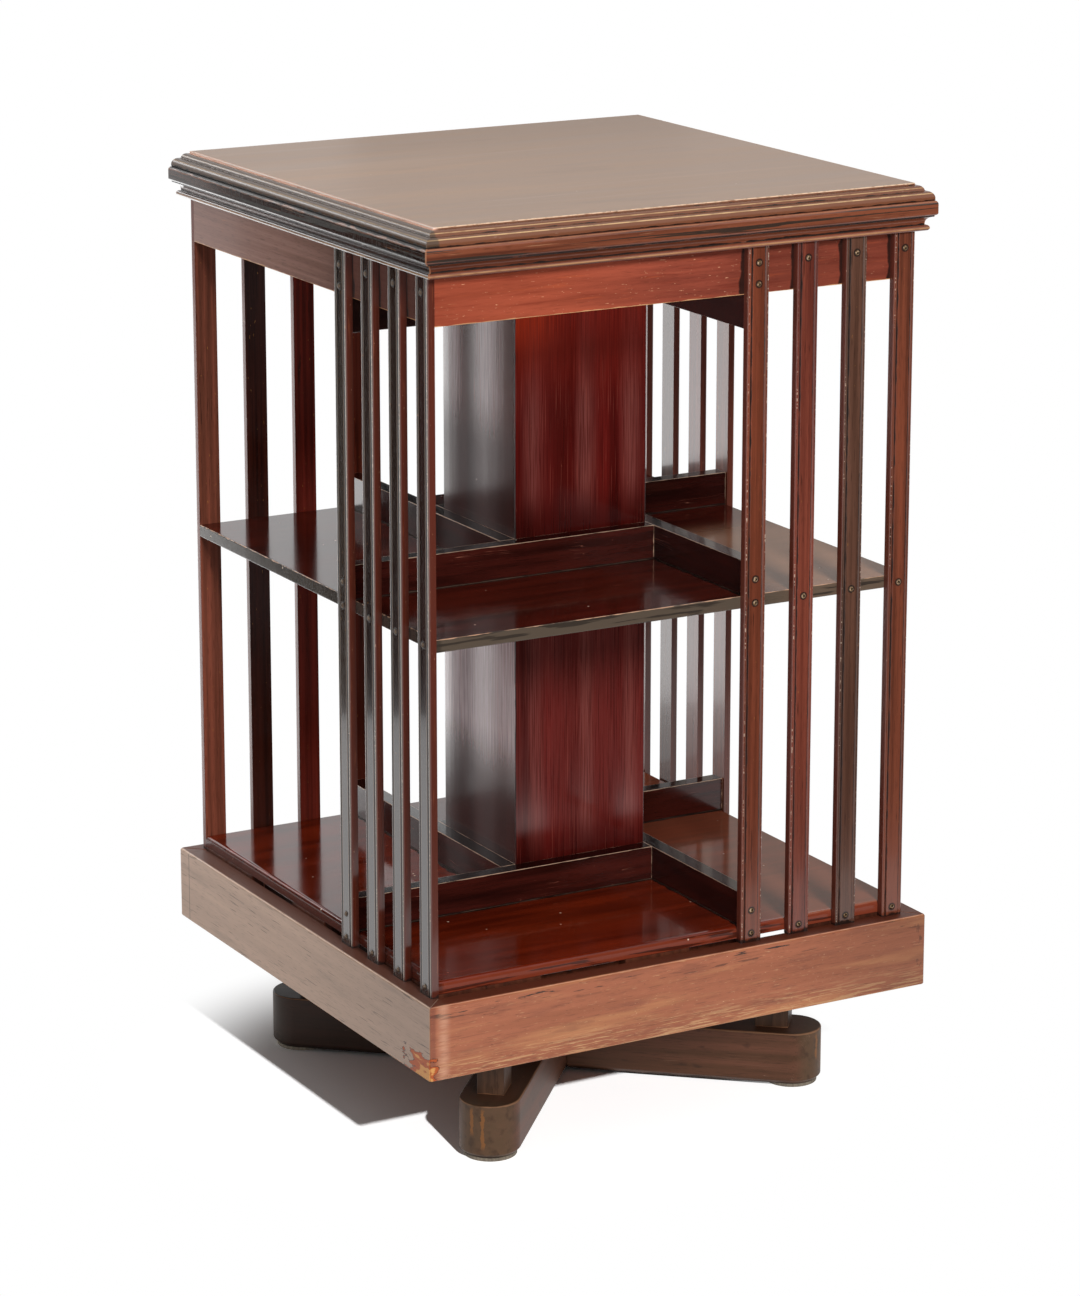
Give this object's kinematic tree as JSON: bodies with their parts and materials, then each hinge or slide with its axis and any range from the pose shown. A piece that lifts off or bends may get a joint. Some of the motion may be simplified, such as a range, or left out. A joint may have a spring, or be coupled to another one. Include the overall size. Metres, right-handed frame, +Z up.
{
  "type": "revolving bookcase",
  "caption": "Square two-tier wooden bookcase with slatted sides that turns on a post over a low cross-shaped stand.",
  "frame": {"origin": "on the floor, on the turning axis in the middle of the stand", "axes": "+Z up along the turning axis, -Y out of the front side of the case and +X out of its right side"},
  "size_m": [0.49, 0.49, 0.815],
  "materials": {
    "top_wood": "polished mahogany, dulled on top and worn on the edges",
    "case_wood": "polished mahogany",
    "slat_wood": "polished mahogany, darker in the grooves",
    "shelf_wood": "polished mahogany",
    "column_wood": "glossy mahogany",
    "plinth_wood": "polished mahogany, worn along the edges",
    "stand_wood": "dark stained wood",
    "hidden_wood": "plain sawn wood",
    "felt": "worn felt",
    "brass": "aged",
    "steel": "plain"
  },
  "bodies": {
    "stand": {"foot_beam_lower": "stand_wood", "foot_beam_upper": "stand_wood", "foot_pads": "felt", "runner_blocks": "stand_wood", "post": "stand_wood", "pivot_pin": "steel"},
    "case": {"top_board": "top_wood", "cornice_front": "top_wood", "cornice_right": "top_wood", "cornice_back": "top_wood", "cornice_left": "top_wood", "frieze_front": "case_wood", "frieze_right": "case_wood", "frieze_back": "case_wood", "frieze_left": "case_wood", "top_rail_front": "case_wood", "top_rail_right": "case_wood", "top_rail_back": "case_wood", "top_rail_left": "case_wood", "slat_front_1": "slat_wood", "slat_front_2": "slat_wood", "slat_front_3": "slat_wood", "slat_front_4": "slat_wood", "slat_right_1": "slat_wood", "slat_right_2": "slat_wood", "slat_right_3": "slat_wood", "slat_right_4": "slat_wood", "slat_back_1": "slat_wood", "slat_back_2": "slat_wood", "slat_back_3": "slat_wood", "slat_back_4": "slat_wood", "slat_left_1": "slat_wood", "slat_left_2": "slat_wood", "slat_left_3": "slat_wood", "slat_left_4": "slat_wood", "slat_pins": "brass", "middle_shelf": "shelf_wood", "bottom_shelf": "shelf_wood", "middle_curb_front": "shelf_wood", "middle_curb_right": "shelf_wood", "middle_curb_back": "shelf_wood", "middle_curb_left": "shelf_wood", "bottom_curb_front": "shelf_wood", "bottom_curb_right": "shelf_wood", "bottom_curb_back": "shelf_wood", "bottom_curb_left": "shelf_wood", "column_front": "column_wood", "column_right": "column_wood", "column_back": "column_wood", "column_left": "column_wood", "plinth_front": "plinth_wood", "plinth_right": "plinth_wood", "plinth_back": "plinth_wood", "plinth_left": "plinth_wood", "glue_blocks": "hidden_wood", "bearer": "hidden_wood", "pivot_block": "hidden_wood", "pivot_cup": "brass", "lower_collar": "brass", "collar_screws": "brass"}
  },
  "joints": [
    {"name": "case_spin", "type": "hinge", "parent": "stand", "child": "case", "pos_m": [0, 0, 0.767], "axis": [0, 0, 1], "continuous": true}
  ]
}
